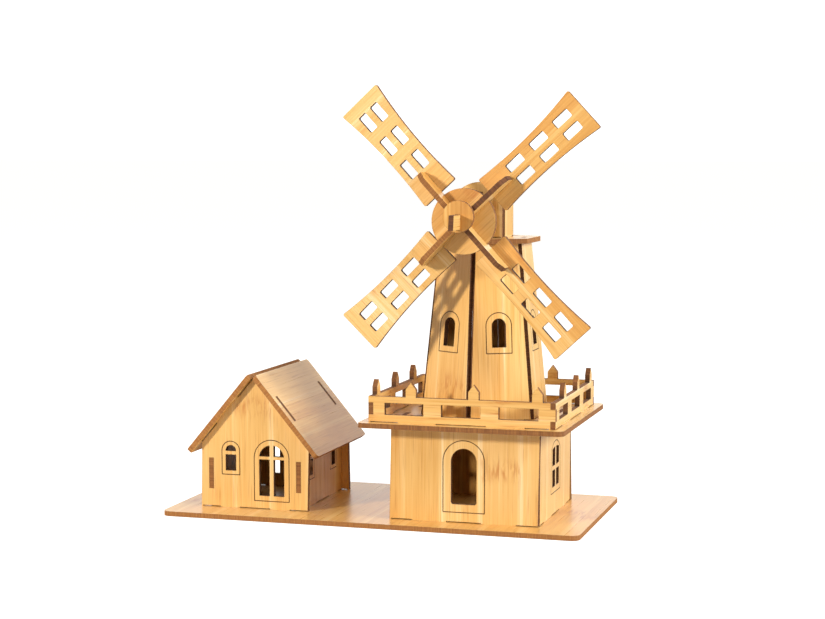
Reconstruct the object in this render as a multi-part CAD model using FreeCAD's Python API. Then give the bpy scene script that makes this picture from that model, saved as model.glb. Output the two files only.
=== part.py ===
"""Windmill and cottage puzzle, cut from flat bamboo sheet and slotted together.

Frame: millimetres, +Z up, the front faces -Y, origin at the centre of the base plate's underside.
Every piece is a flat sheet.  A sheet is drawn in its own plane with u to the right and v up as seen
from outside, and its thickness runs inwards from its outer face.
"""
import FreeCAD
import Part
import math
import os

Vector = FreeCAD.Vector

# ---- sheet and fits -------------------------------------------------------------------------
sheet = 3.0                  # thickness of every sheet
tab_play = 0.05              # play round a tab in its slot, each side
push_fit = 0.0               # play of a disc pushed onto the shaft strip, each side
journal_clearance = 0.05     # radial running clearance of a journal disc in its hole
axial_play = 0.3             # gap between a thrust disc and the panel beside it
seat_land = 1.5              # edge length that seats on the next sheet, each side of a tab
corner_land = 1.0            # edge length that seats on the next sheet, at a corner
edge_relief = 0.5            # how far an edge stands back from the next sheet between its lands
groove_width = 0.4           # engraved frame lines
groove_depth = 0.3
overcut = 1.0                # how far a cutter runs on past the faces it cuts

# ---- base plate -----------------------------------------------------------------------------
base_length = 256.5
base_depth = 125.6
base_corner_radius = 5.0

# ---- mill room (the square box under the gallery) -------------------------------------------
mill_x = 57.1                # axis of the tower and gallery, from the centre of the base
mill_room_shift = -0.9       # the room's axis, from the tower's
mill_width = 90.8            # outside length of the front and back walls
mill_wall_height = 56.0
mill_side_inset = 0.5        # side walls stand in from the ends of the front wall
mill_tab_width = 18.0
mill_tab_spread = 42.0       # centre to centre of the two tabs on an edge
doorway_width = 15.5
doorway_bottom = 10.9
doorway_height = 33.0
doorway_corner_radius = 1.5
doorway_frame_margin = 4.8
mill_window_width = 18.0
mill_window_bottom = 16.8
mill_window_height = 23.9
mill_window_arch_rise = 1.0  # of its nearly flat top
mill_window_frame_rise = 4.0      # of the engraved frame's rounder top
mill_window_mullion = 3.0
mill_window_transom = 2.6
mill_window_transom_rise = 10.2   # from the window's bottom to the transom
mill_window_frame_margin = 3.6

# ---- gallery --------------------------------------------------------------------------------
gallery_width = 123.0
gallery_corner_radius = 4.0
rail_span = 111.8            # outside width of the square of rails
rail_height = 15.3
rail_window_width = 23.5
rail_window_height = 7.0
rail_window_bottom = 4.6
rail_window_pitch = 34.2
picket_width = 6.3
picket_shoulder = 4.5        # height of a picket's sides above the rail
picket_point = 4.2           # height of its point above its sides
picket_pitch = 37.6
picket_shift = 7.6           # the pickets' middle one stands this far to the right of the rail's middle
rail_tab_width = 20.0
rail_tab_spread = 53.0

# ---- tower ----------------------------------------------------------------------------------
tower_sides = 6
tower_height = 103.6
tower_bottom_radius = 40.3   # to the corners of the outer faces
tower_top_radius = 29.2
tower_corner_play = 0.018    # between neighbouring panels' inner corners, each side
tower_bottom_tab = 14.0
tower_top_tab = 8.0
tower_window_width = 8.6
tower_window_bottom = 43.1
tower_window_height = 17.0
tower_frame_margin = 3.5
tower_plate_radius = 34.5
tower_plate_corner_radius = 1.2

# ---- head (the box that carries the shaft) ----------------------------------------------------
head_panel_width = 27.4
head_wall_span = 29.0        # outside width across the side walls
head_depth = 27.4            # outside depth across the front and back panels
head_height = 32.9           # to the crown of the arch
head_arch_radius = 18.5
head_wall_height = 24.9
head_front_tab = 12.0
head_side_tab = 10.0
slat_gap = 0.4               # between neighbouring slats at their inner edges
slat_angle = 32.0            # between neighbouring slats, about the arch's centre
slat_depth = 5.9             # slats lie this far under the arch
slat_tab_width = 3.5

# ---- shaft and hub --------------------------------------------------------------------------
shaft_rise = 11.0            # shaft axis above the top plate
shaft_width = 8.6
shaft_shoulder_width = 13.0
shaft_tail = 24.0            # rear end, behind the tower axis
peg_length = 14.0            # shaft that stands out of the nose disc
journal_radius = 7.0         # of the holes in the head panels
thrust_radius = 9.0
wedge_length = 16.0
wedge_head = 5.0
wedge_point = 3.6
wedge_margin = 1.0           # shaft left above and below the wedge at least
nose_disc_radius = 9.1
nose_disc_rise = 3.15        # the nose disc's centre stands this far above the shaft axis
hub_disc_radius = 19.0
hub_distance = 48.0          # tower axis to the hub disc's back, and to the sails' front
bracket_depth = 12.8         # nose disc to the sails' front
bracket_inner_radius = 5.2
bracket_outer_radius = 36.8
bracket_chamfer = 4.5
bracket_hub_tab = (8.5, 15.5)     # radii between which the bracket passes through the hub disc
bracket_sail_tab = (26.0, 33.0)   # radii between which it passes through the sail

# ---- sails ----------------------------------------------------------------------------------
sail_count = 4
sail_tip_radius = 94.0
sail_root_radius = 21.9
sail_tip_width = 28.0
sail_root_width = 24.0
sail_waist_width = 21.4
sail_waist_radius = 54.0
sail_corner_radius = 1.0
sail_window_length = 11.2
sail_window_width = 5.3
sail_window_rows = 3
sail_window_pitch = 18.3
sail_window_first = 80.9     # radius to the middle of the outermost windows
sail_window_bar = 3.9        # wood between the two columns
sail_window_corner = 0.8
sail_rest_angle = 42.7       # of the first sail above the +X direction, at rest
sail_skew = (0.0, 0.0, 2.9, 0.0)   # each sail's turn from an even spacing, anticlockwise from the front
sail_inset = (0.0, 0.0, 2.2, 0.0)  # each sail and its bracket's tabs sit this much nearer the shaft

# ---- cottage --------------------------------------------------------------------------------
house_x = -76.75
house_y = -1.0               # the cottage stands this far from the base's middle line
house_width = 70.0
house_depth = 78.0
house_eave_height = 39.3     # of the gable walls' upright edges
roof_pitch = 50.0
roof_length = 62.0           # down the slope
roof_ridge_gap = 0.8         # each slope's upper edge stands this far down from the ridge
roof_front_overhang = 4.8    # beyond the front gable wall
roof_back_overhang = 8.6     # beyond the back one
roof_corner_radius = 2.0
roof_tab_start = 17.9        # gable tab, from the ridge down the slope
roof_tab_width = 18.8
house_tab_width = 9.5
house_tab_spread = 32.4
house_side_inset = 5.2       # side walls stand in from the ends of the gable walls
house_side_tab_bottom = 11.2
house_side_tab_width = 18.8
house_side_foot_width = 14.0
house_side_foot_spread = 40.0
window_width = 6.8
window_height = 15.7
window_bar = 2.2
window_bar_rise = 9.9
window_frame_margin = 2.4
front_window_u = -15.5
front_window_bottom = 22.7
side_window_spread = 41.0
side_window_bottom = 19.0
door_width = 16.1
door_u = 11.0
door_bottom = 8.2
door_height = 31.15
door_mullion = 2.6
door_transom = 1.9
door_transom_rise = 22.3
door_frame_margin = 3.2

# ---- levels worked out from the sizes above --------------------------------------------------
base_top = sheet
mill_top = base_top + mill_wall_height
gallery_top = mill_top + sheet
tower_top = gallery_top + tower_height
head_floor = tower_top + sheet
mill_room_x = mill_x + mill_room_shift
tower_corner_gap = sheet * math.tan(math.pi / tower_sides) + tower_corner_play
shaft_z = head_floor + shaft_rise
tower_lean = math.atan2((tower_bottom_radius - tower_top_radius) * math.cos(math.pi / tower_sides),
                        tower_height)


# ---- drawing helpers ---------------------------------------------------------------------------
def outline_face(points):
    """Flat face inside a closed outline of straight lines."""
    corners = [Vector(u, v, 0) for u, v in points]
    return Part.Face(Part.makePolygon(corners + [corners[0]]))


def cut_sheet(points):
    """Sheet with this outline; its outer face lies at w = 0 and it is `sheet` thick."""
    return outline_face(points).extrude(Vector(0, 0, -sheet))


def box_between(low, high):
    """Box from its lowest to its highest corner."""
    size = [h - l for l, h in zip(low, high)]
    return Part.makeBox(size[0], size[1], size[2], Vector(*low))


def through_slot(u, v, width, height, play=0.0):
    """Rectangular cutter through a sheet, centred on (u, v)."""
    half_width = width / 2 + play
    half_height = height / 2 + play
    return box_between((u - half_width, v - half_height, -sheet - overcut),
                       (u + half_width, v + half_height, overcut))


def edge_with_tabs(start, end, tabs, height=None):
    """Points along an outline edge with tabs, seating lands and reliefs, from start to end.

    The outline runs anticlockwise, so outwards is to the right of the way along the edge.
    tabs holds (centre, width) pairs measured from start.
    """
    out = sheet if height is None else height
    length = math.hypot(end[0] - start[0], end[1] - start[1])
    along = ((end[0] - start[0]) / length, (end[1] - start[1]) / length)
    outwards = (along[1], -along[0])

    def at(distance, offset):
        return (start[0] + along[0] * distance + outwards[0] * offset,
                start[1] + along[1] * distance + outwards[1] * offset)

    points = [at(0, 0)]
    seat_end = corner_land
    for centre, width in sorted(tabs):
        tab_start = centre - width / 2
        tab_end = centre + width / 2
        points += [at(seat_end, 0), at(seat_end, -edge_relief)]
        points += [at(tab_start - seat_land, -edge_relief), at(tab_start - seat_land, 0)]
        points += [at(tab_start, 0), at(tab_start, out), at(tab_end, out), at(tab_end, 0)]
        seat_end = tab_end + seat_land
    points += [at(seat_end, 0), at(seat_end, -edge_relief)]
    points += [at(length - corner_land, -edge_relief), at(length - corner_land, 0)]
    return points


def tab_pair(length, spread, width):
    """Two equal tabs, symmetric about the middle of an edge."""
    return [(length / 2 - spread / 2, width), (length / 2 + spread / 2, width)]


def arch_face(u, bottom, width, height, rise, corner=0.0):
    """Face of an upright opening whose top is an arc of this rise; its bottom corners may be rounded."""
    spring = bottom + height - rise
    left, right = u - width / 2, u + width / 2
    crown = Part.Arc(Vector(right, spring, 0), Vector(u, spring + rise, 0), Vector(left, spring, 0))
    if corner <= 0:
        lines = [Part.LineSegment(Vector(left, spring, 0), Vector(left, bottom, 0)),
                 Part.LineSegment(Vector(left, bottom, 0), Vector(right, bottom, 0)),
                 Part.LineSegment(Vector(right, bottom, 0), Vector(right, spring, 0))]
    else:
        turn = corner * (1 - math.sqrt(0.5))
        lines = [Part.LineSegment(Vector(left, spring, 0), Vector(left, bottom + corner, 0)),
                 Part.Arc(Vector(left, bottom + corner, 0), Vector(left + turn, bottom + turn, 0),
                          Vector(left + corner, bottom, 0)),
                 Part.LineSegment(Vector(left + corner, bottom, 0), Vector(right - corner, bottom, 0)),
                 Part.Arc(Vector(right - corner, bottom, 0), Vector(right - turn, bottom + turn, 0),
                          Vector(right, bottom + corner, 0)),
                 Part.LineSegment(Vector(right, bottom + corner, 0), Vector(right, spring, 0))]
    return Part.Face(Part.Wire([piece.toShape() for piece in lines + [crown]]))


def rise_outside(width, rise, spread):
    """Rise of the arc that runs `spread` outside an arch of this width and rise, about the same centre."""
    radius = (width ** 2 / 4 + rise ** 2) / (2 * rise) + spread
    return radius - math.sqrt(max(0.0, radius ** 2 - (width / 2 + spread) ** 2))


def arch_opening(u, bottom, width, height, rise=None, corner=0.0, mullion=0.0, transom=0.0,
                 transom_rise=0.0):
    """Cutter for an arched opening, less an upright mullion and a level transom.

    The arch is half-round unless its rise is given.
    """
    top_rise = width / 2 if rise is None else rise
    face = arch_face(u, bottom, width, height, top_rise, corner)
    face.translate(Vector(0, 0, -sheet - overcut))
    cutter = face.extrude(Vector(0, 0, sheet + 2 * overcut))
    if mullion > 0:
        cutter = cutter.cut(box_between((u - mullion / 2, bottom - overcut, -sheet - 2 * overcut),
                                        (u + mullion / 2, bottom + height + overcut, 2 * overcut)))
    if transom > 0:
        level = bottom + transom_rise
        cutter = cutter.cut(box_between((u - width, level, -sheet - 2 * overcut),
                                        (u + width, level + transom, 2 * overcut)))
    return cutter


def engraved_arch(u, bottom, width, height, margin, frame_rise=None):
    """Shallow groove at a distance `margin` outside an arched opening.

    The groove's top is half-round, or part of an arc that would rise by frame_rise over the opening.
    """
    top_rise = width / 2 if frame_rise is None else frame_rise
    rings = []
    for spread in (margin + groove_width / 2, margin - groove_width / 2):
        face = arch_face(u, bottom - spread, width + 2 * spread, height + 2 * spread,
                         rise_outside(width, top_rise, spread), groove_width)
        rings.append(face.extrude(Vector(0, 0, groove_depth + overcut)))
    groove = rings[0].cut(rings[1])
    groove.translate(Vector(0, 0, -groove_depth))
    return groove


def round_corners(solid, radius):
    """Round the edges of a flat sheet that run through its thickness, before anything is cut in it."""
    edges = [e for e in solid.Edges
             if len(e.Vertexes) == 2 and abs(abs(e.Vertexes[0].Z - e.Vertexes[1].Z) - sheet) < 1e-6]
    return solid.makeFillet(radius, edges)


def cut_all(solid, cutters):
    """Take a list of cutters out of a solid."""
    return solid.cut(cutters) if cutters else solid


def stand_up(solid, origin, u_axis, v_axis):
    """Place a drawn sheet: its (0, 0) goes to origin, u and v along the given directions."""
    w_axis = u_axis.cross(v_axis)
    turn = FreeCAD.Rotation(u_axis, v_axis, w_axis, "XYZ")
    placed = solid.copy()
    placed.Placement = FreeCAD.Placement(origin, turn)
    return placed


def wall_axes(quarter):
    """u, v and outward directions of an upright wall: 0 front, 1 right, 2 back, 3 left."""
    angle = quarter * math.pi / 2
    u_axis = Vector(round(math.cos(angle)), round(math.sin(angle)), 0)
    v_axis = Vector(0, 0, 1)
    return u_axis, v_axis, u_axis.cross(v_axis)


def stand_wall(solid, quarter, centre_x, distance, floor, centre_y=0.0):
    """Stand a wall round a vertical axis at its centre; distance is from the axis to its outer face."""
    u_axis, v_axis, outwards = wall_axes(quarter)
    origin = Vector(centre_x, centre_y, floor) + outwards * distance
    return stand_up(solid, origin, u_axis, v_axis)


def wall_slots(quarter, centre_x, distance, level, tabs, length, centre_y=0.0):
    """Slots in a level plate whose underside is at `level`, for the tabs of an upright wall."""
    slots = []
    for centre, width in tabs:
        slot = box_between((centre - length / 2 - width / 2 - tab_play, -overcut, -sheet - tab_play),
                           (centre - length / 2 + width / 2 + tab_play, sheet + overcut, tab_play))
        slots.append(stand_wall(slot, quarter, centre_x, distance, level, centre_y))
    return slots


# ---- mill room ------------------------------------------------------------------------------
mill_side_length = mill_width - 2 * sheet
mill_front_tabs = tab_pair(mill_width, mill_tab_spread, mill_tab_width)
mill_side_tabs = tab_pair(mill_side_length, mill_tab_spread, mill_tab_width)
mill_side_distance = mill_width / 2 - mill_side_inset


def box_wall_outline(length, height, tabs):
    """Rectangular wall with the same tabs along its bottom and its top."""
    half = length / 2
    return (edge_with_tabs((-half, 0), (half, 0), tabs)
            + edge_with_tabs((half, height), (-half, height), tabs))


def mill_window():
    """Four-pane arched window and its engraved frame."""
    return [arch_opening(0, mill_window_bottom, mill_window_width, mill_window_height,
                         rise=mill_window_arch_rise, mullion=mill_window_mullion,
                         transom=mill_window_transom, transom_rise=mill_window_transom_rise),
            engraved_arch(0, mill_window_bottom, mill_window_width, mill_window_height,
                          mill_window_frame_margin, frame_rise=mill_window_frame_rise)]


def mill_front_wall():
    wall = cut_sheet(box_wall_outline(mill_width, mill_wall_height, mill_front_tabs))
    wall = cut_all(wall, [arch_opening(0, doorway_bottom, doorway_width, doorway_height,
                                       corner=doorway_corner_radius),
                          engraved_arch(0, doorway_bottom, doorway_width, doorway_height,
                                        doorway_frame_margin)])
    return stand_wall(wall, 0, mill_room_x, mill_width / 2, base_top)


def mill_back_wall():
    wall = cut_sheet(box_wall_outline(mill_width, mill_wall_height, mill_front_tabs))
    return stand_wall(cut_all(wall, mill_window()), 2, mill_room_x, mill_width / 2, base_top)


def mill_side_wall(quarter):
    wall = cut_sheet(box_wall_outline(mill_side_length, mill_wall_height, mill_side_tabs))
    return stand_wall(cut_all(wall, mill_window()), quarter, mill_room_x, mill_side_distance, base_top)


def mill_wall_slots(level):
    """Slots for all four mill walls in the plate whose underside is at this level."""
    slots = []
    for quarter in (0, 2):
        slots += wall_slots(quarter, mill_room_x, mill_width / 2, level, mill_front_tabs, mill_width)
    for quarter in (1, 3):
        slots += wall_slots(quarter, mill_room_x, mill_side_distance, level, mill_side_tabs,
                            mill_side_length)
    return slots


# ---- gallery rails --------------------------------------------------------------------------
rail_tabs = tab_pair(rail_span, rail_tab_spread, rail_tab_width)
finger_low = rail_window_bottom
finger_high = rail_window_bottom + rail_window_height


def rail_outline():
    """Rail with pointed pickets; its left end has a notch and its right end the matching tongue."""
    half = rail_span / 2
    inner = half - sheet
    points = edge_with_tabs((-half, 0), (inner, 0), rail_tabs)
    points += [(inner, 0), (inner, finger_low + tab_play), (half, finger_low + tab_play)]
    points += [(half, finger_high - tab_play), (inner, finger_high - tab_play), (inner, rail_height)]
    for step in (1, 0, -1):
        centre = picket_shift + step * picket_pitch
        points += [(centre + picket_width / 2, rail_height),
                   (centre + picket_width / 2, rail_height + picket_shoulder),
                   (centre, rail_height + picket_shoulder + picket_point),
                   (centre - picket_width / 2, rail_height + picket_shoulder),
                   (centre - picket_width / 2, rail_height)]
    points += [(-half, rail_height), (-half, finger_high), (-inner, finger_high)]
    points += [(-inner, finger_low), (-half, finger_low)]
    return points


def gallery_rail(quarter):
    rail = cut_sheet(rail_outline())
    windows = [through_slot(step * rail_window_pitch, finger_low + rail_window_height / 2,
                            rail_window_width, rail_window_height) for step in (-1, 0, 1)]
    return stand_wall(cut_all(rail, windows), quarter, mill_x, rail_span / 2, gallery_top)


# ---- tower ----------------------------------------------------------------------------------
def tower_panel_axes(index):
    """Bottom-edge origin on the outer face, u, v, for the panel after corner `index`."""
    angle = math.radians(-90 + (index + 0.5) * 360 / tower_sides)
    outwards = Vector(math.cos(angle), math.sin(angle), 0)
    u_axis = Vector(-math.sin(angle), math.cos(angle), 0)
    v_axis = Vector(0, 0, math.cos(tower_lean)) - outwards * math.sin(tower_lean)
    apothem = tower_bottom_radius * math.cos(math.pi / tower_sides)
    origin = Vector(mill_x, 0, gallery_top) + outwards * apothem
    return origin, u_axis, v_axis


def tower_half_width(radius):
    """Half the width of a panel where the corners stand at this radius."""
    return radius * math.sin(math.pi / tower_sides) - tower_corner_gap


tower_slope_height = tower_height / math.cos(tower_lean)
tower_foot_lift = sheet * math.tan(tower_lean)       # a square-cut edge rests on its inner corner


def tower_tab_block(width, at_top, play):
    """Straight block along the panel through the plate above or below it."""
    bottom = tower_slope_height - overcut if at_top else -sheet - 2 * overcut
    top = tower_slope_height + sheet + 2 * overcut if at_top else overcut
    return box_between((-width / 2 - play, bottom, -sheet - play), (width / 2 + play, top, play))


def tower_panel(index):
    """Tapered panel with an arched window; its tabs are trimmed flush with the plates' far faces."""
    foot = tower_foot_lift
    head = tower_slope_height
    low = tower_half_width(tower_bottom_radius)
    high = tower_half_width(tower_top_radius)
    body = cut_sheet([(-low, foot), (low, foot), (high, head), (-high, head)])
    body = cut_all(body, [arch_opening(0, tower_window_bottom, tower_window_width, tower_window_height),
                          engraved_arch(0, tower_window_bottom, tower_window_width, tower_window_height,
                                        tower_frame_margin)])
    for width, at_top in ((tower_bottom_tab, False), (tower_top_tab, True)):
        body = body.fuse(tower_tab_block(width, at_top, 0))
    panel = stand_up(body.removeSplitter(), *tower_panel_axes(index))
    reach = 2 * tower_bottom_radius
    keep = box_between((mill_x - reach, -reach, mill_top), (mill_x + reach, reach, head_floor))
    return panel.common(keep)


def tower_slots(at_top):
    """Slots for the six panels' tabs."""
    width = tower_top_tab if at_top else tower_bottom_tab
    return [stand_up(tower_tab_block(width, at_top, tab_play), *tower_panel_axes(index))
            for index in range(tower_sides)]


# ---- plates ---------------------------------------------------------------------------------
def level_plate(points, underside, corner_radius):
    """Level sheet with this plan and rounded corners."""
    plate = round_corners(cut_sheet(points), corner_radius)
    plate.translate(Vector(0, 0, underside + sheet))
    return plate


def rectangle(centre_x, length, depth):
    """Corners of a rectangle about (centre_x, 0)."""
    return [(centre_x - length / 2, -depth / 2), (centre_x + length / 2, -depth / 2),
            (centre_x + length / 2, depth / 2), (centre_x - length / 2, depth / 2)]


def base_plate():
    plate = level_plate(rectangle(0, base_length, base_depth), 0, base_corner_radius)
    return cut_all(plate, mill_wall_slots(0) + house_slots())


def gallery_plate():
    plate = level_plate(rectangle(mill_x, gallery_width, gallery_width), mill_top, gallery_corner_radius)
    rail_slots = []
    for quarter in range(4):
        rail_slots += wall_slots(quarter, mill_x, rail_span / 2, mill_top, rail_tabs, rail_span)
    return cut_all(plate, mill_wall_slots(mill_top) + rail_slots + tower_slots(False))


def tower_top_plate():
    corners = []
    for index in range(tower_sides):
        angle = math.radians(-90 + index * 360 / tower_sides)
        corners.append((mill_x + tower_plate_radius * math.cos(angle), tower_plate_radius * math.sin(angle)))
    plate = level_plate(corners, tower_top, tower_plate_corner_radius)
    head_slots = []
    for quarter in range(4):
        tab, distance = head_tab(quarter)
        head_slots += wall_slots(quarter, mill_x, distance, tower_top, [(tab / 2, tab)], tab)
    return cut_all(plate, tower_slots(True) + head_slots)


# ---- head -----------------------------------------------------------------------------------
arch_centre = head_height - head_arch_radius         # height of the arch's centre above the top plate
slat_outer = head_arch_radius - slat_depth
slat_width = 2 * (slat_outer - sheet) * math.tan(math.radians(slat_angle / 2)) - slat_gap


def head_tab(quarter):
    """Bottom tab width and outer-face distance of a head wall."""
    if quarter % 2 == 0:
        return head_front_tab, head_depth / 2
    return head_side_tab, head_wall_span / 2


def slat_slot(angle, play):
    """Cutter or tab block for a roof slat, in the plane of a head panel."""
    block = box_between((-slat_tab_width / 2 - play, slat_outer - sheet - play, -sheet - overcut),
                        (slat_tab_width / 2 + play, slat_outer + play, overcut))
    block.rotate(Vector(0, 0, 0), Vector(0, 0, 1), angle)
    block.translate(Vector(0, arch_centre, 0))
    return block


def head_panel(quarter):
    """Front or back panel: upright sides, an arched top, the journal hole and the slat slots."""
    half = head_panel_width / 2
    spring = arch_centre + math.sqrt(head_arch_radius ** 2 - half ** 2)
    foot = edge_with_tabs((-half, 0), (half, 0), [(half, head_front_tab)])
    corners = [Vector(u, v, 0) for u, v in foot + [(half, 0), (half, spring)]]
    lines = [Part.LineSegment(a, b).toShape() for a, b in zip(corners, corners[1:])]
    crown = Part.Arc(Vector(half, spring, 0), Vector(0, head_height, 0), Vector(-half, spring, 0))
    closing = Part.LineSegment(Vector(-half, spring, 0), corners[0]).toShape()
    panel = Part.Face(Part.Wire(lines + [crown.toShape(), closing])).extrude(Vector(0, 0, -sheet))
    hole = Part.makeCylinder(journal_radius, sheet + 2 * overcut, Vector(0, shaft_rise, -sheet - overcut))
    slots = [slat_slot(side * slat_angle, tab_play) for side in (-1, 0, 1)]
    return stand_wall(cut_all(panel, [hole] + slots), quarter, mill_x, head_depth / 2, head_floor)


def head_side_wall(quarter):
    """Plain side wall between the front and back panels."""
    half = head_depth / 2 - sheet
    points = edge_with_tabs((-half, 0), (half, 0), [(half, head_side_tab)])
    points += [(half, head_wall_height), (-half, head_wall_height)]
    return stand_wall(cut_sheet(points), quarter, mill_x, head_wall_span / 2, head_floor)


def roof_slat(side):
    """Slat between the arched panels, with a tab through each of them."""
    inner = head_depth / 2 - sheet
    slat = box_between((-slat_width / 2, -inner, slat_outer - sheet), (slat_width / 2, inner, slat_outer))
    tabs = box_between((-slat_tab_width / 2, -head_depth / 2, slat_outer - sheet),
                       (slat_tab_width / 2, head_depth / 2, slat_outer))
    slat = slat.fuse(tabs).removeSplitter()
    slat.rotate(Vector(0, 0, 0), Vector(0, 1, 0), side * slat_angle)
    slat.translate(Vector(mill_x, 0, head_floor + arch_centre))
    return slat


# ---- rotor ----------------------------------------------------------------------------------
hub_back = -hub_distance
nose_back = hub_back - bracket_depth
shaft_front = nose_back - sheet - peg_length
panel_outer = head_depth / 2
panel_inner = panel_outer - sheet
wedge_start = panel_outer + axial_play + sheet
first_sail_angle = 180 / sail_count      # of the first sail on the rotor as it is drawn


def rotor_place(solid):
    """Turn a rotor piece, drawn about the Y axis, to its rest angle and lift it to the shaft."""
    placed = solid.copy()
    placed.rotate(Vector(0, 0, 0), Vector(0, -1, 0), sail_rest_angle - first_sail_angle)
    placed.translate(Vector(mill_x, 0, shaft_z))
    return placed


def disc(radius, front, rise=0.0):
    """Disc with a slot for the shaft strip; front is its front face along Y."""
    body = Part.makeCylinder(radius, sheet, Vector(0, front, rise), Vector(0, 1, 0))
    slot = box_between((-sheet / 2 - push_fit, front - overcut, -shaft_width / 2 - push_fit),
                       (sheet / 2 + push_fit, front + sheet + overcut, shaft_width / 2 + push_fit))
    return body.cut(slot)


def shaft_strip():
    """Flat strip on edge: the hub's peg in front, a wider middle as shoulders, a wedge slot behind."""
    half = sheet / 2
    strip = box_between((-half, shaft_front, -shaft_width / 2), (half, shaft_tail, shaft_width / 2))
    shoulder_rear = -panel_outer - axial_play - sheet
    middle = box_between((-half, hub_back, -shaft_shoulder_width / 2),
                         (half, shoulder_rear, shaft_shoulder_width / 2))
    slot = wedge_block(push_fit)
    return rotor_place(strip.fuse(middle).removeSplitter().cut(slot))


def wedge_block(play):
    """Tapered wedge that crosses the strip from side to side behind the last thrust disc."""
    half = wedge_length / 2
    head_half = min(wedge_head, shaft_width - 2 * wedge_margin) / 2 + play
    point_half = min(wedge_point, shaft_width - 2 * wedge_margin) / 2 + play
    profile = [(-half, -head_half), (half, -point_half), (half, point_half), (-half, head_half)]
    corners = [Vector(x, wedge_start, z) for x, z in profile]
    face = Part.Face(Part.makePolygon(corners + [corners[0]]))
    return face.extrude(Vector(0, sheet + play, 0))


def hub_disc():
    """Large disc with four radial slots for the brackets' tabs."""
    body = disc(hub_disc_radius, hub_back - sheet)
    slots = []
    for index in range(sail_count):
        inner, outer = [radius - sail_inset[index] for radius in bracket_hub_tab]
        slot = box_between((inner - tab_play, hub_back - sheet - overcut, -sheet / 2 - tab_play),
                           (outer + tab_play, hub_back + overcut, sheet / 2 + tab_play))
        slots.append(turned(slot, index))
    return rotor_place(body.cut(slots))


def turned(solid, index):
    """Turn a radial piece, drawn along +X, to the angle of sail `index` on the unturned rotor."""
    angle = first_sail_angle + index * 360 / sail_count + sail_skew[index]
    placed = solid.copy()
    placed.rotate(Vector(0, 0, 0), Vector(0, -1, 0), angle)
    return placed


def sail_bracket(index):
    """Radial fin on edge behind the nose disc, with tabs through the hub disc and through its sail."""
    hub_front = hub_back - sheet
    rim = hub_disc_radius + tab_play
    end = bracket_outer_radius - sail_inset[index]
    hub_inner, hub_outer = [radius - sail_inset[index] for radius in bracket_hub_tab]
    sail_inner, sail_outer = [radius - sail_inset[index] for radius in bracket_sail_tab]
    profile = [(bracket_inner_radius, nose_back), (end - bracket_chamfer, nose_back),
               (end, nose_back + bracket_chamfer), (end, hub_back),
               (sail_outer, hub_back), (sail_outer, hub_back + sheet),
               (sail_inner, hub_back + sheet), (sail_inner, hub_back),
               (rim, hub_back), (rim, hub_front),
               (hub_outer, hub_front), (hub_outer, hub_back),
               (hub_inner, hub_back), (hub_inner, hub_front), (bracket_inner_radius, hub_front)]
    corners = [Vector(r, y, -sheet / 2) for r, y in profile]
    fin = Part.Face(Part.makePolygon(corners + [corners[0]])).extrude(Vector(0, 0, sheet))
    return rotor_place(turned(fin, index))


def sail(index):
    """Hourglass blade with two columns of windows and the bracket's slot near its root."""
    root, tip = sail_root_width / 2, sail_tip_width / 2
    waist = sail_waist_width / 2
    corner = [Vector(sail_root_radius, -root, 0), Vector(sail_tip_radius, -tip, 0),
              Vector(sail_tip_radius, tip, 0), Vector(sail_root_radius, root, 0)]
    edges = [Part.Arc(corner[0], Vector(sail_waist_radius, -waist, 0), corner[1]).toShape(),
             Part.LineSegment(corner[1], corner[2]).toShape(),
             Part.Arc(corner[2], Vector(sail_waist_radius, waist, 0), corner[3]).toShape(),
             Part.LineSegment(corner[3], corner[0]).toShape()]
    blade = round_corners(Part.Face(Part.Wire(edges)).extrude(Vector(0, 0, -sheet)), sail_corner_radius)
    cutters = []
    for row in range(sail_window_rows):
        radius = sail_window_first - row * sail_window_pitch
        for side in (-1, 1):
            centre = side * (sail_window_bar + sail_window_width) / 2
            cutters.append(rounded_window(radius, centre))
    slot_middle = sum(bracket_sail_tab) / 2
    slot_length = bracket_sail_tab[1] - bracket_sail_tab[0]
    cutters.append(through_slot(slot_middle, 0, slot_length, sheet, tab_play))
    blade = cut_all(blade, cutters)
    blade = stand_up(blade, Vector(-sail_inset[index], hub_back, 0), Vector(1, 0, 0), Vector(0, 0, 1))
    return rotor_place(turned(blade, index))


def rounded_window(u, v):
    """Cutter for one sail window with rounded corners."""
    block = box_between((u - sail_window_length / 2, v - sail_window_width / 2, -sheet - overcut),
                        (u + sail_window_length / 2, v + sail_window_width / 2, overcut))
    upright = [e for e in block.Edges if abs(e.Vertexes[0].Z - e.Vertexes[1].Z) > sheet]
    return block.makeFillet(sail_window_corner, upright)


# ---- cottage --------------------------------------------------------------------------------
house_tabs = tab_pair(house_width, house_tab_spread, house_tab_width)
house_side_length = house_depth - 2 * sheet
house_side_distance = house_width / 2 - house_side_inset
house_side_tabs = tab_pair(house_side_length, house_side_foot_spread, house_side_foot_width)
pitch = math.radians(roof_pitch)
gable_slope = house_width / 2 / math.cos(pitch)
gable_apex = house_eave_height + house_width / 2 * math.tan(pitch)
house_side_height = gable_apex - house_side_distance * math.tan(pitch)


def small_window(u, bottom):
    """Arched window with one bar, and its engraved frame."""
    return [arch_opening(u, bottom, window_width, window_height,
                         transom=window_bar, transom_rise=window_bar_rise),
            engraved_arch(u, bottom, window_width, window_height, window_frame_margin)]


def gable_outline():
    """Gable wall: feet along the bottom and one tab up through each roof slope."""
    half = house_width / 2
    down_slope = roof_tab_start + roof_tab_width / 2
    points = edge_with_tabs((-half, 0), (half, 0), house_tabs)
    points += edge_with_tabs((half, house_eave_height), (0, gable_apex),
                             [(gable_slope - down_slope, roof_tab_width)])
    points += edge_with_tabs((0, gable_apex), (-half, house_eave_height),
                             [(down_slope, roof_tab_width)])
    return points


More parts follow.
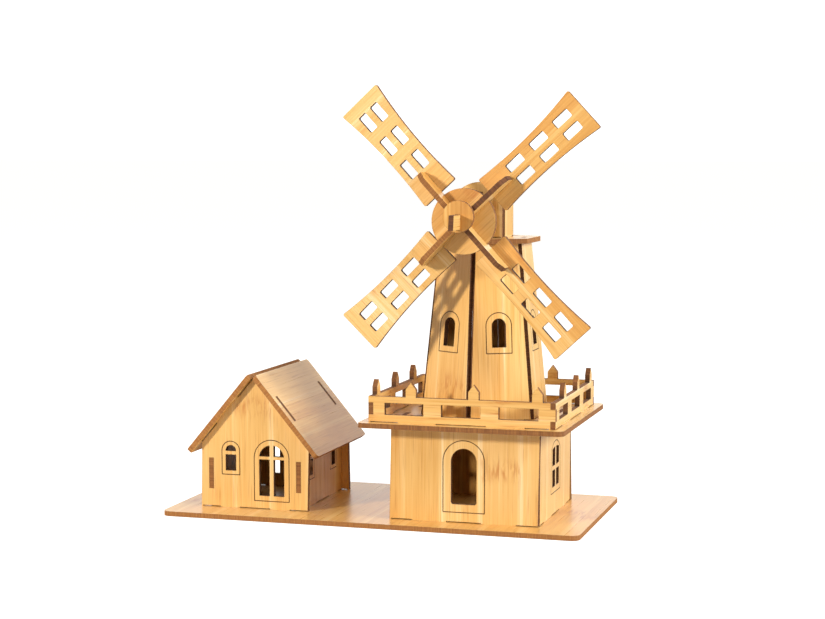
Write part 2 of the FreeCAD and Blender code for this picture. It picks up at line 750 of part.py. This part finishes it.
def gable_wall(quarter):
    """Gable wall with its door, its window and the slots for the side walls' end tabs."""
    cutters = small_window(front_window_u, front_window_bottom)
    cutters += [arch_opening(door_u, door_bottom, door_width, door_height, mullion=door_mullion,
                             transom=door_transom, transom_rise=door_transom_rise),
                engraved_arch(door_u, door_bottom, door_width, door_height, door_frame_margin)]
    slot_middle = house_side_tab_bottom + house_side_tab_width / 2
    cutters += [through_slot(side * (house_side_distance - sheet / 2), slot_middle, sheet,
                             house_side_tab_width, tab_play) for side in (-1, 1)]
    return stand_wall(cut_all(cut_sheet(gable_outline()), cutters), quarter, house_x, house_depth / 2,
                      base_top, house_y)


def house_side_wall(quarter):
    """Side wall with two windows and a tab through each gable wall."""
    half = house_side_length / 2
    tab_low = house_side_tab_bottom
    tab_high = tab_low + house_side_tab_width
    points = edge_with_tabs((-half, 0), (half, 0), house_side_tabs)
    points += [(half, 0), (half, tab_low), (half + sheet, tab_low)]
    points += [(half + sheet, tab_high), (half, tab_high)]
    points += [(half, house_side_height), (-half, house_side_height), (-half, tab_high)]
    points += [(-half - sheet, tab_high), (-half - sheet, tab_low), (-half, tab_low)]
    windows = []
    for side in (-1, 1):
        windows += small_window(side * side_window_spread / 2, side_window_bottom)
    wall = cut_all(cut_sheet(points), windows)
    return stand_wall(wall, quarter, house_x, house_side_distance, base_top, house_y)


def house_slots():
    """Slots in the base for the cottage walls' feet."""
    slots = []
    for quarter in (0, 2):
        slots += wall_slots(quarter, house_x, house_depth / 2, 0, house_tabs, house_width, house_y)
    for quarter in (1, 3):
        slots += wall_slots(quarter, house_x, house_side_distance, 0, house_side_tabs, house_side_length,
                            house_y)
    return slots


def roof_panel(side):
    """Roof slope, held by the gable walls' tabs.

    It is drawn with u towards the back on the right-hand slope and towards the front on the left one.
    """
    ends = [-side * (house_depth / 2 + roof_front_overhang), side * (house_depth / 2 + roof_back_overhang)]
    low, high = min(ends), max(ends)
    top, bottom = -roof_ridge_gap, -roof_ridge_gap - roof_length
    panel = round_corners(cut_sheet([(low, bottom), (high, bottom), (high, top), (low, top)]),
                          roof_corner_radius)
    slot_v = -roof_tab_start - roof_tab_width / 2
    wall_middle = house_depth / 2 - sheet / 2
    slots = [through_slot(end * wall_middle, slot_v, sheet, roof_tab_width, tab_play) for end in (-1, 1)]
    u_axis = Vector(0, side, 0)
    v_axis = Vector(-side * math.cos(pitch), 0, math.sin(pitch))
    outwards = u_axis.cross(v_axis)
    origin = Vector(house_x, house_y, base_top + gable_apex) + outwards * sheet
    return stand_up(cut_all(panel, slots), origin, u_axis, v_axis)


# ---- all pieces ---------------------------------------------------------------------------------
quarter_names = ("front", "right", "back", "left")
tower_names = ("front_right", "right", "back_right", "back_left", "left", "front_left")

pieces = {
    "base_plate": base_plate(),
    "house_front_wall": gable_wall(0),
    "house_back_wall": gable_wall(2),
    "house_right_wall": house_side_wall(1),
    "house_left_wall": house_side_wall(3),
    "house_roof_right": roof_panel(1),
    "house_roof_left": roof_panel(-1),
    "mill_front_wall": mill_front_wall(),
    "mill_back_wall": mill_back_wall(),
    "mill_right_wall": mill_side_wall(1),
    "mill_left_wall": mill_side_wall(3),
    "gallery_plate": gallery_plate(),
    "tower_top_plate": tower_top_plate(),
    "head_front_panel": head_panel(0),
    "head_back_panel": head_panel(2),
    "head_right_wall": head_side_wall(1),
    "head_left_wall": head_side_wall(3),
    "shaft_strip": shaft_strip(),
    "shaft_wedge": rotor_place(wedge_block(0)),
    "nose_disc": rotor_place(disc(nose_disc_radius, nose_back - sheet, nose_disc_rise)),
    "hub_disc": hub_disc(),
    "front_journal_disc": rotor_place(disc(journal_radius - journal_clearance, -panel_outer)),
    "rear_journal_disc": rotor_place(disc(journal_radius - journal_clearance, panel_inner)),
    "front_thrust_disc": rotor_place(disc(thrust_radius, -panel_outer - axial_play - sheet)),
    "front_inner_thrust_disc": rotor_place(disc(thrust_radius, -panel_inner + axial_play)),
    "rear_inner_thrust_disc": rotor_place(disc(thrust_radius, panel_inner - axial_play - sheet)),
    "rear_thrust_disc": rotor_place(disc(thrust_radius, panel_outer + axial_play)),
}
for quarter, side_name in enumerate(quarter_names):
    pieces["rail_" + side_name] = gallery_rail(quarter)
for index, side_name in enumerate(tower_names):
    pieces["tower_panel_" + side_name] = tower_panel(index)
for side, side_name in ((-1, "left"), (0, "middle"), (1, "right")):
    pieces["head_slat_" + side_name] = roof_slat(side)
for index in range(sail_count):
    pieces["sail_bracket_%d" % (index + 1)] = sail_bracket(index)
    pieces["sail_%d" % (index + 1)] = sail(index)

os.makedirs("parts", exist_ok=True)
for name, shape in sorted(pieces.items()):
    if not shape.isValid() or len(shape.Solids) != 1:
        raise ValueError("%s: valid %s, %d solids" % (name, shape.isValid(), len(shape.Solids)))
    shape.Solids[0].exportStep("parts/%s.step" % name)
print(len(pieces), "pieces written")
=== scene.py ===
import math
import zlib
from functools import partial

import bpy
import numpy as np
from mathutils import Matrix, Vector


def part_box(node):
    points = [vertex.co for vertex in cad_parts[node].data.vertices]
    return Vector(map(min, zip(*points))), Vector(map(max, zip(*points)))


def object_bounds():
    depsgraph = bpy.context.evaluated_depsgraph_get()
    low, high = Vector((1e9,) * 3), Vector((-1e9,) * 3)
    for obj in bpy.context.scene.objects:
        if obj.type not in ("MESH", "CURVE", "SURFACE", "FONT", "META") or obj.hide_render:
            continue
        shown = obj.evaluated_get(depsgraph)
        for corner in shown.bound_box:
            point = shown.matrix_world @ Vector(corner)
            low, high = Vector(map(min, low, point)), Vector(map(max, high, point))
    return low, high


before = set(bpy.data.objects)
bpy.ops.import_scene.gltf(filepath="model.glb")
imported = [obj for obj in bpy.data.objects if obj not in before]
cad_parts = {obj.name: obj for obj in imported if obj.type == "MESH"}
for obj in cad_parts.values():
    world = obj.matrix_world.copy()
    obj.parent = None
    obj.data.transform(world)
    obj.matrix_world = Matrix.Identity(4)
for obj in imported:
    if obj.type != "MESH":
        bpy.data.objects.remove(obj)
cad_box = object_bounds()

MM = 0.001
SHEET = 3.0                       # mm, thickness of every sheet
RIGHTWARDS = np.array((1.0, 0.5, 0.25))   # a sheet's seams are counted this way


# ---- colour and node helpers --------------------------------------------------------------------
def linear(hex_colour):
    """Linear RGBA of an sRGB hex colour such as '#DBAD6C'."""
    parts = [int(hex_colour[i:i + 2], 16) / 255 for i in (1, 3, 5)]
    return tuple(c / 12.92 if c <= 0.04045 else ((c + 0.055) / 1.055) ** 2.4 for c in parts) + (1.0,)


def between(first, second, share):
    """Hex colour that lies this share of the way from the first to the second."""
    mixed = [int(first[i:i + 2], 16) * (1 - share) + int(second[i:i + 2], 16) * share for i in (1, 3, 5)]
    return "#%02X%02X%02X" % tuple(round(m) for m in mixed)


def add(tree, kind, inputs=(), output=0, stops=(), **settings):
    """Add a node and return one of its outputs, or the node itself where output is None.

    inputs holds numbers, colours or other nodes' outputs, in the order of the sockets or by socket.
    stops holds a ramp's (position, hex colour) pairs, and settings the node's own properties.
    """
    node = tree.nodes.new("ShaderNode" + kind)
    for key, value in settings.items():
        setattr(node, key, value)
    for key, value in inputs.items() if isinstance(inputs, dict) else enumerate(inputs):
        if isinstance(value, bpy.types.NodeSocket):
            tree.links.new(value, node.inputs[key])
        else:
            node.inputs[key].default_value = value
    for step, (position, colour) in enumerate(stops):
        elements = node.color_ramp.elements
        element = elements[step] if step < 2 else elements.new(1.0)
        element.position = position
        element.color = linear(colour)
    return node if output is None else node.outputs[output]


# ---- where each sheet lies ------------------------------------------------------------------------
def sheet_axes(obj, along):
    """Axes of a flat sheet: w is the normal of its largest triangle, v the grain direction laid into
    the sheet, u = v x w, turned to point to the right.  Also where the sheet's middle lies along w and
    where the sheet starts along u (mm)."""
    mesh = obj.data
    mesh.calc_loop_triangles()
    points = np.empty(len(mesh.vertices) * 3, np.float32)
    mesh.vertices.foreach_get("co", points)
    points = points.reshape(-1, 3).astype(float)
    index = np.empty(len(mesh.loop_triangles) * 3, np.int32)
    mesh.loop_triangles.foreach_get("vertices", index)
    corners = points[index].reshape(-1, 3, 3)
    normals = np.cross(corners[:, 1] - corners[:, 0], corners[:, 2] - corners[:, 0])
    w = normals[np.argmax((normals ** 2).sum(1))]
    w /= np.linalg.norm(w)
    v = np.array(along, float)
    v -= (v @ w) * w
    v /= np.linalg.norm(v)
    u = np.cross(v, w)
    if u @ RIGHTWARDS < 0:
        u, w = -u, -w
    depths = points @ w / MM
    return u, v, w, (depths.min() + depths.max()) / 2, (points @ u).min() / MM


# ---- bamboo ply -----------------------------------------------------------------------------------
STRIP = 23.7                      # mm, width of one bamboo strip in the face veneer
SEAM = 0.25                       # mm, dark glue seam on each side of a strip
PALE_EDGE = 2.6                   # mm, pale rind along each edge of a strip
NODE_PITCH = 150.0                # mm between the knuckles along one strip
KNUCKLE = 13.0                    # mm, how far a knuckle's stain reaches along the strip
BLOTCH = 10.0                     # mm, the same for the one chosen knuckle of a front wall
HALO = 0.55                       # mm, width of the smoke stain beside a cut
GLUE_LINE = 0.5                   # mm from the sheet's middle to each glue line
GLUE_WIDTH = 0.20                 # mm, from a glue line's middle to where its dark fades out
RIM = 0.45                        # mm, depth of the darker burn along a cut's edges
OPENING_SHADE_REACH = 9.0                  # mm, inside an opening narrower than this a cut gets painted shade
FACE_SKIN = 0.02                  # mm under a face, where the cut's colour begins
RELIEF = 0.08                     # mm, height of the fibres and of the laser's ridges
RELIEF_SHARE = 0.35               # how much of that relief the light shows
# mm across, along and through the sheet: the laser's ridges on a cut, drawn coarser than they are,
# so that they show
RIDGE = (0.909, 0.909, 12.5)
# noises stretched along the grain: mm across, mm along, detail, roughness, distortion.  Fibres and
# veins are drawn coarser than they are, so that they show.
GRAIN = {"fibre": (0.9, 55, 3.0, 0.6, 0.15), "vein": (0.7, 26, 1.0, 0.5, 0.0),
         "swirl": (2.0, 11, 4.0, 0.5, 0.7), "band": (4.5, 140, 2.0, 0.5, 0.0),
         "patch": (17, 60, 1.0, 0.5, 0.0)}
FIBRE_SPREAD = 400.0              # how far apart in the noises two strips may lie
# how much each noise adds to the tone
TONE_SHARES = (("fibre", 0.62), ("band", 0.40), ("patch", 0.22))
STRIP_SHARE = 0.22                # how far a strip's own tone may lift it
WARM_SHARE = 0.22                 # how far a strip may go towards orange
MEAN_TONE = -0.23                 # brings the sum of the noises to the middle of the tones
RIND_LIFT = 0.20                  # how much paler a rind is
# noise values between which a vein darkens and a knuckle's swirls come up, and a cut's three colours
VEIN_RANGE = (0.60, 0.74)
SWIRL_RANGE = (0.40, 0.70)
RIDGE_STOPS = (0.28, 0.50, 0.72)
CORNER_RANGE = (0.995, 0.80)      # cosine of the turn near a corner, where the halo starts and is full
SKY_RANGE = (0.95, 0.55)          # share of open sky, where the painted shade on a cut starts and where it is full
# how strongly each of these stains the wood, 0 to 1, and how dark the painted shade in small openings is
SEAM_STAIN = 0.16
VEIN_STAIN = 0.42
BLOTCH_STAIN = 0.65
GLUE_STAIN = 0.40
RIM_STAIN = 0.45
# painted shade: how dark a cut inside a small opening is painted, 0 to 1
OPENING_SHADE = 0.85
HALO_STAIN = 0.45                 # beside a golden cut
CHAR_STAIN = 0.40                 # and this much more beside the darkest
# colours from dark to pale: the faces' tones, with their places, and the cuts where char is 0 and 1
FACE_TONES = ((0.10, "#B57E3A"), (0.32, "#C9984F"), (0.52, "#D6AD67"), (0.74, "#E0BC7C"), (0.95, "#EDD5A6"))
LIGHT_SCORCH = ("#9A6430", "#AC753B", "#BE8849")
DARK_SCORCH = ("#3A1E0D", "#4E2B13", "#643A1B")
SATIN = (0.22, 0.38)              # roughness of the varnish, over dark and over pale fibres
CHAR_ROUGHNESS = 0.85
VARNISH_IOR = 1.5


def bamboo_ply(name, axes, seed, tone_and_shade, first_seam, char, knots, blotch):
    """Flat-pressed bamboo ply under a thin satin varnish, laser cut: honey-coloured strips side by
    side, each with its own tone, long fibres, dark veins and the odd blotched knuckle; whatever the
    laser cut is scorched brown, and a cut inside a small opening is painted nearly black as shade.
    The tone shifts the whole piece darker (-) or paler (+): its own tone, and on a few pieces painted
    shade.  first_seam is the first seam's distance from the sheet's edge (mm), char is how badly the
    cut is burnt, 0 golden to 1 nearly black, knots how strongly the knuckles show, and blotch one more
    knuckle: its strip, counted from the first seam, and its place along the grain (mm)."""
    u, v, w, middle, start = axes
    material = bpy.data.materials.new(name)
    material.use_nodes = True
    tree = material.node_tree
    tree.nodes.clear()
    node = partial(add, tree)

    # across, along and through the sheet, in mm
    turn = Matrix((tuple(u), tuple(v), tuple(w))).to_euler()
    sheet = node("Mapping", {"Vector": node("TexCoord", output="Object"), "Scale": (1 / MM,) * 3,
                             "Rotation": turn, "Location": (-start - first_seam, 0, -middle)})
    across, length, depth = node("SeparateXYZ", (sheet,), output=None).outputs

    # strips: a strip's number gives it its own tone, fibre pattern and knuckle position
    strips = node("Math", (across, STRIP), operation="DIVIDE")
    strip = node("Math", (strips,), operation="FLOOR")
    number = node("Math", (strip, seed), operation="ADD")
    lot = node("TexWhiteNoise", {"W": number}, output="Color", noise_dimensions="1D")
    own_tone, own_fibre, own_knuckle = node("SeparateColor", (lot,), output=None).outputs
    centred = node("Math", (node("Math", (strips,), operation="FRACT"), 0.5), operation="SUBTRACT")
    from_middle = node("Math", (centred,), operation="ABSOLUTE")
    edge = 0.5                    # of a strip's width, from its middle
    rind_start = edge - PALE_EDGE / STRIP
    rind_full = edge - 0.3 * PALE_EDGE / STRIP
    seam = node("MapRange", (from_middle, edge - SEAM / STRIP, edge, 0.0, SEAM_STAIN))
    rind = node("MapRange", (from_middle, rind_start, rind_full, 0.0, RIND_LIFT),
                interpolation_type="SMOOTHSTEP")

    # fibres, bands, veins, patches and swirls run along the grain, differently in each strip
    shift = node("Math", (own_fibre, FIBRE_SPREAD), operation="MULTIPLY")
    moved = node("CombineXYZ", (across, length, shift))
    grain = {}
    for pattern, (wide, long, detail, roughness, distortion) in GRAIN.items():
        place = node("Mapping", {"Vector": moved, "Scale": (1 / wide, 1 / long, 1.0)})
        grain[pattern] = node("TexNoise", {"Vector": place, "Scale": 1.0, "Detail": detail,
                                           "Roughness": roughness, "Distortion": distortion})
    vein = node("MapRange", (grain["vein"], *VEIN_RANGE, 0.0, VEIN_STAIN))
    swirl = node("MapRange", (grain["swirl"], *SWIRL_RANGE, 0.0, 1.0), interpolation_type="SMOOTHSTEP")

    # knuckles: one stretch of a strip where the fibres swirl and stain orange-brown
    offset = node("Math", (own_knuckle, NODE_PITCH, length), operation="MULTIPLY_ADD")
    along = node("Math", (offset, NODE_PITCH), operation="FLOORED_MODULO")
    off_centre = node("Math", (along, NODE_PITCH / 2), operation="SUBTRACT")
    from_node = node("Math", (off_centre,), operation="ABSOLUTE")
    stain = node("MapRange", (from_node, KNUCKLE, 0.0, 0.0, knots), interpolation_type="SMOOTHSTEP")
    if blotch:
        chosen, height = blotch
        own_strip = node("Math", (strip, chosen, 0.5), operation="COMPARE")
        off_blotch = node("Math", (length, height), operation="SUBTRACT")
        beside = node("Math", (off_blotch,), operation="ABSOLUTE")
        near = node("MapRange", (beside, BLOTCH, 0.0, 0.0, BLOTCH_STAIN), interpolation_type="SMOOTHSTEP")
        more = node("Math", (own_strip, near), operation="MULTIPLY")
        stain = node("Math", (stain, more), operation="MAXIMUM")
    knuckle = node("Math", (stain, swirl), operation="MULTIPLY")

    # the faces' colour
    value = node("Math", (own_tone, STRIP_SHARE, tone_and_shade + MEAN_TONE), operation="MULTIPLY_ADD")
    for pattern, share in TONE_SHARES:
        value = node("Math", (grain[pattern], share, value), operation="MULTIPLY_ADD")
    value = node("Math", (value, rind), operation="ADD")
    face = node("ValToRGB", (value,), stops=FACE_TONES)
    warmth = node("Math", (own_fibre, WARM_SHARE), operation="MULTIPLY")
    for share, tint in ((warmth, "#D99A52"), (vein, "#A4692F"), (knuckle, "#B06A2C"), (seam, "#8F5A24")):
        face = node("Mix", {0: share, 6: face, 7: linear(tint)}, 2, data_type="RGBA")

    # smoke halo on the faces right beside a cut
    bevel = node("Bevel", {"Radius": HALO * MM}, samples=4)
    flat = node("NewGeometry", output="Normal")
    turned = node("VectorMath", (bevel, flat), "Value", operation="DOT_PRODUCT")
    halo = node("MapRange", (turned, *CORNER_RANGE, 0.0, HALO_STAIN + CHAR_STAIN * char))
    smoke = linear(between("#9C642C", "#4A2811", char))
    face = node("Mix", {0: halo, 6: face, 7: smoke}, 2, data_type="RGBA")

    # the scorched cut: the laser leaves fine ridges through the thickness; a cut inside a small opening,
    # where little open sky reaches, is painted nearly black as shade
    place = node("Mapping", {"Vector": sheet, "Scale": [1 / size for size in RIDGE]})
    ridges = node("TexNoise", {"Vector": place, "Scale": 1.0, "Detail": 2.0})
    burnt = [between(light, dark, char) for light, dark in zip(LIGHT_SCORCH, DARK_SCORCH)]
    scorch = node("ValToRGB", (ridges,), stops=zip(RIDGE_STOPS, burnt))
    off_middle = node("Math", (depth,), operation="ABSOLUTE")
    off_glue = node("Math", (off_middle, GLUE_LINE), operation="SUBTRACT")
    from_glue = node("Math", (off_glue,), operation="ABSOLUTE")
    glue = node("MapRange", (from_glue, 0.2 * GLUE_WIDTH, GLUE_WIDTH, GLUE_STAIN, 0.0))
    rim = node("MapRange", (off_middle, SHEET / 2 - RIM, SHEET / 2 - 0.05, 0.0, RIM_STAIN))
    open_sky = node("AmbientOcclusion", {"Distance": OPENING_SHADE_REACH * MM}, "AO", samples=6, only_local=True)
    opening_shade = node("MapRange", (open_sky, *SKY_RANGE, 0.0, OPENING_SHADE))
    glue_soot = between("#6E4119", "#2A1509", char)
    rim_soot = between("#5E3617", "#241107", char)
    # the last of these is painted shade, darkest where the least open sky reaches a cut
    for share, soot_and_shade in ((glue, glue_soot), (rim, rim_soot), (opening_shade, "#1E0E06")):
        scorch = node("Mix", {0: share, 6: scorch, 7: linear(soot_and_shade)}, 2, data_type="RGBA")

    # satin varnish on the faces, dry char on the cuts
    skin = SHEET / 2 - FACE_SKIN
    cut = node("MapRange", (off_middle, skin, skin - 0.03, 0.0, 1.0))
    colour = node("Mix", {0: cut, 6: face, 7: scorch}, 2, data_type="RGBA")
    satin = node("MapRange", (grain["fibre"], 0.0, 1.0, *SATIN))
    rough = node("Mix", {0: cut, 2: satin, 3: CHAR_ROUGHNESS}, data_type="FLOAT")
    combed = node("Math", (grain["fibre"], 0.5), operation="MULTIPLY")
    relief = node("Mix", {0: cut, 2: combed, 3: ridges}, data_type="FLOAT")
    bump = node("Bump", {"Height": relief, "Distance": RELIEF * MM, "Strength": RELIEF_SHARE})
    surface = node("BsdfPrincipled", {"Base Color": colour, "Roughness": rough, "Normal": bump,
                                      "IOR": VARNISH_IOR})
    node("OutputMaterial", {"Surface": surface}, None)
    return material


# ---- what sets one piece apart from another --------------------------------------------------------
UP = (0, 0, 1)
DEEP = (0, 1, 0)
WIDE = (1, 0, 0)


def radial(name):
    """Direction from the hub's middle to this piece's middle, in the plane of the sails."""
    low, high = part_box(name)
    hub_low, hub_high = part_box("hub_disc")
    way = (low + high) / 2 - (hub_low + hub_high) / 2
    return Vector((way.x, 0, way.z)).normalized()


def grain_of(name):
    """Direction of a piece's grain: plates and roofs run front to back, rails along their length, two
    sails along and two across their blades."""
    if name.endswith("_plate") or name.startswith(("house_roof", "head_slat")):
        return DEEP
    if name in ("rail_front", "rail_back"):
        return WIDE
    if name in ("rail_left", "rail_right", "shaft_strip"):
        return DEEP
    if name in ("sail_2", "sail_3"):
        return tuple(radial(name).cross(Vector(DEEP)))
    if name.startswith("sail"):
        return tuple(radial(name))
    if name == "hub_disc":
        return tuple(radial("sail_1"))
    return UP


# how much darker (-) or paler (+) a piece is than the rest: its own tone, and on three pieces painted shade
TONES_AND_SHADE = {"house_roof_right": -0.04, "house_roof_left": -0.04, "base_plate": -0.04, "hub_disc": -0.06,
         "nose_disc": -0.14, "sail_3": 0.16, "sail_2": 0.04, "sail_1": -0.11, "sail_4": -0.04,
         "mill_right_wall": 0.08, "mill_front_wall": 0.09, "house_front_wall": 0.15,
         "tower_panel_front_left": 0.06, "tower_panel_right": 0.08, "tower_top_plate": 0.04,
         # painted shade: the bracket's face lies in the key lamp's shadow, the back gable in the roof's
         # shade, and the mill's back wall is darkened so that its inside looks dark
         "sail_bracket_2": -0.25, "house_back_wall": -0.06, "mill_back_wall": -0.10}
# how badly a piece's cut is burnt, 0 golden to 1 nearly black, and the same for a whole kind of piece
CHARS = {"sail_bracket_1": 0.85, "sail_bracket_2": 0.35, "sail_bracket_3": 0.30, "sail_bracket_4": 0.75,
         "shaft_strip": 0.85, "house_roof_right": 0.15, "house_roof_left": 0.15, "base_plate": 0.20,
         "gallery_plate": 0.45, "tower_top_plate": 0.30, "house_right_wall": 0.45, "house_left_wall": 0.45}
CHAR_OF_KIND = (("sail_", 0.80), ("rail_", 0.60), ("tower_panel_", 0.80), ("mill_", 0.75), ("house_", 0.75),
                ("head_", 0.70), ("", 0.50))
# mm from a piece's left edge to its first seam; the others' come from their names
FIRST_SEAMS = {"mill_front_wall": 8.0, "house_front_wall": 22.1, "house_roof_right": 23.0}
# the one chosen knuckle of a front wall: its strip, counted from the first seam, and its height (mm)
BLOTCHES = {"mill_front_wall": (2, 35.0), "house_front_wall": (0, 66.0)}
ROOF_KNOTS = 0.25                 # how strongly the knuckles show on the roofs
WALL_KNOTS = 0.75                 # and on everything else
SEEDS = 997                       # pieces start their strips' numbers at this many different places


def char_of(name):
    """How badly a piece's cut is burnt."""
    of_kind = next(char for start, char in CHAR_OF_KIND if name.startswith(start))
    return CHARS.get(name, of_kind)


def knots_of(name):
    """How strongly a piece's chance knuckles show: hardly on a roof, and not beside a chosen one."""
    if name in BLOTCHES:
        return 0.0
    return ROOF_KNOTS if name.startswith("house_roof") else WALL_KNOTS


for name, piece in sorted(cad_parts.items()):
    key = zlib.crc32(name.encode())
    ply = bamboo_ply("laser_cut_bamboo_ply_" + name, sheet_axes(piece, grain_of(name)), seed=key % SEEDS,
                     tone_and_shade=TONES_AND_SHADE.get(name, 0.0), first_seam=FIRST_SEAMS.get(name, key % STRIP),
                     char=char_of(name), knots=knots_of(name), blotch=BLOTCHES.get(name))
    piece.data.materials.clear()
    piece.data.materials.append(ply)


# ---- floor, lights, camera ------------------------------------------------------------------------
FLOOR_REACH = 30.0                # m, from the model to the floor's edges
FLOOR_GAP = 0.0002                # m, the floor lies this far under the base plate
PAPER_GREY = 0.52                 # how much of the light the paper throws back up
PAPER_GLOW = 0.90                 # how much brighter than that the paper looks to the camera
ROOM_LIGHT = 0.29                 # strength of the warm light from all round
BACKDROP = 1.5                    # strength of the white backdrop, in view and in reflections
LIGHTS_AIM = Vector((0.02, 0.0, 0.11))                # m, where the lamps point
EYE_PLACE = Vector((0.276415, -1.071326, 0.221713))   # m, from the foot of the mill's axis
EYE_DOWN = 5.946                  # degrees below level
EYE_LEFT = 16.737                 # degrees to the left of straight back
EYE_LENS = 80.43                  # mm, on a sensor 36 mm wide
EYE_SHIFT = 0.0363                # how far the view is shifted up, in sensor widths


def grid_mesh(name, points):
    """Quad mesh from a grid of points of shape (rows, columns, 3)."""
    rows, columns = points.shape[:2]
    corner = np.arange(rows * columns).reshape(rows, columns)
    faces = np.stack([corner[:-1, :-1], corner[:-1, 1:], corner[1:, 1:], corner[1:, :-1]], -1).reshape(-1, 4)
    mesh = bpy.data.meshes.new(name)
    mesh.from_pydata(points.reshape(-1, 3).tolist(), [], faces.tolist())
    obj = bpy.data.objects.new(name, mesh)
    bpy.context.scene.collection.objects.link(obj)
    return obj


def pale_paper():
    """Matt white studio paper: evenly pale, and overexposed to white in front of the camera."""
    material = bpy.data.materials.new("matt_white_paper")
    material.use_nodes = True
    tree = material.node_tree
    tree.nodes.clear()
    seen = add(tree, "LightPath", output="Is Camera Ray")
    paper = add(tree, "BsdfDiffuse", {"Color": (PAPER_GREY, PAPER_GREY, PAPER_GREY, 1.0)})
    glow = add(tree, "Emission", {"Color": (1.0, 1.0, 1.0, 1.0), "Strength": PAPER_GLOW})
    dark = add(tree, "Emission", {"Strength": 0.0})
    lift = add(tree, "MixShader", (seen, dark, glow))
    both = add(tree, "AddShader", (paper, lift))
    add(tree, "OutputMaterial", {"Surface": both}, None)
    return material


spread = np.linspace(-FLOOR_REACH, FLOOR_REACH, 5)
x, y = np.meshgrid(spread, spread)
floor = grid_mesh("floor", np.stack([x, y, np.full_like(x, cad_box[0][2] - FLOOR_GAP)], -1))
floor.data.materials.append(pale_paper())

world = bpy.data.worlds.new("studio")
bpy.context.scene.world = world
world.use_nodes = True
sky = world.node_tree
sky.nodes.clear()
ray = add(sky, "LightPath", output=None).outputs
mirrored = add(sky, "Math", (ray["Is Camera Ray"], ray["Is Glossy Ray"]), operation="MAXIMUM")
room = add(sky, "Background", {"Color": linear("#FFE9CC"), "Strength": ROOM_LIGHT})
white = add(sky, "Background", {"Color": (1.0, 1.0, 1.0, 1.0), "Strength": BACKDROP})
choice = add(sky, "MixShader", (mirrored, room, white))
add(sky, "OutputWorld", {"Surface": choice}, None)


def softbox(name, azimuth, elevation, distance, size, watts, colour="#FFFFFF"):
    """Square area lamp that looks at the model: azimuth 0 is in front and 90 on the right-hand side,
    distance and size are in metres."""
    a, e = math.radians(azimuth), math.radians(elevation)
    towards = Vector((math.sin(a) * math.cos(e), -math.cos(a) * math.cos(e), math.sin(e)))
    lamp = bpy.data.lights.new(name, "AREA")
    lamp.size = size
    lamp.energy = watts
    lamp.color = linear(colour)[:3]
    obj = bpy.data.objects.new(name, lamp)
    obj.location = LIGHTS_AIM + towards * distance
    obj.rotation_euler = (-towards).to_track_quat("-Z", "Y").to_euler()
    bpy.context.scene.collection.objects.link(obj)


softbox("key_left", -36, 17, 1.6, 0.16, 25.0, "#FFF4E4")
softbox("fill_right", 78, 22, 1.5, 0.6, 27.0)
softbox("top_back", 160, 55, 1.6, 1.0, 6.0)

camera = bpy.data.cameras.new("camera")
camera.sensor_width = 36.0
camera.lens = EYE_LENS
camera.shift_y = EYE_SHIFT
camera.clip_end = 100.0
eye = bpy.data.objects.new("camera", camera)
gallery_low, gallery_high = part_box("gallery_plate")
mill_axis = Vector(((gallery_low.x + gallery_high.x) / 2, 0.0, 0.0))
eye.location = mill_axis + EYE_PLACE
eye.rotation_euler = (math.radians(90 - EYE_DOWN), 0.0, math.radians(EYE_LEFT))
bpy.context.scene.collection.objects.link(eye)
bpy.context.scene.camera = eye
bpy.context.scene.view_settings.view_transform = "Standard"
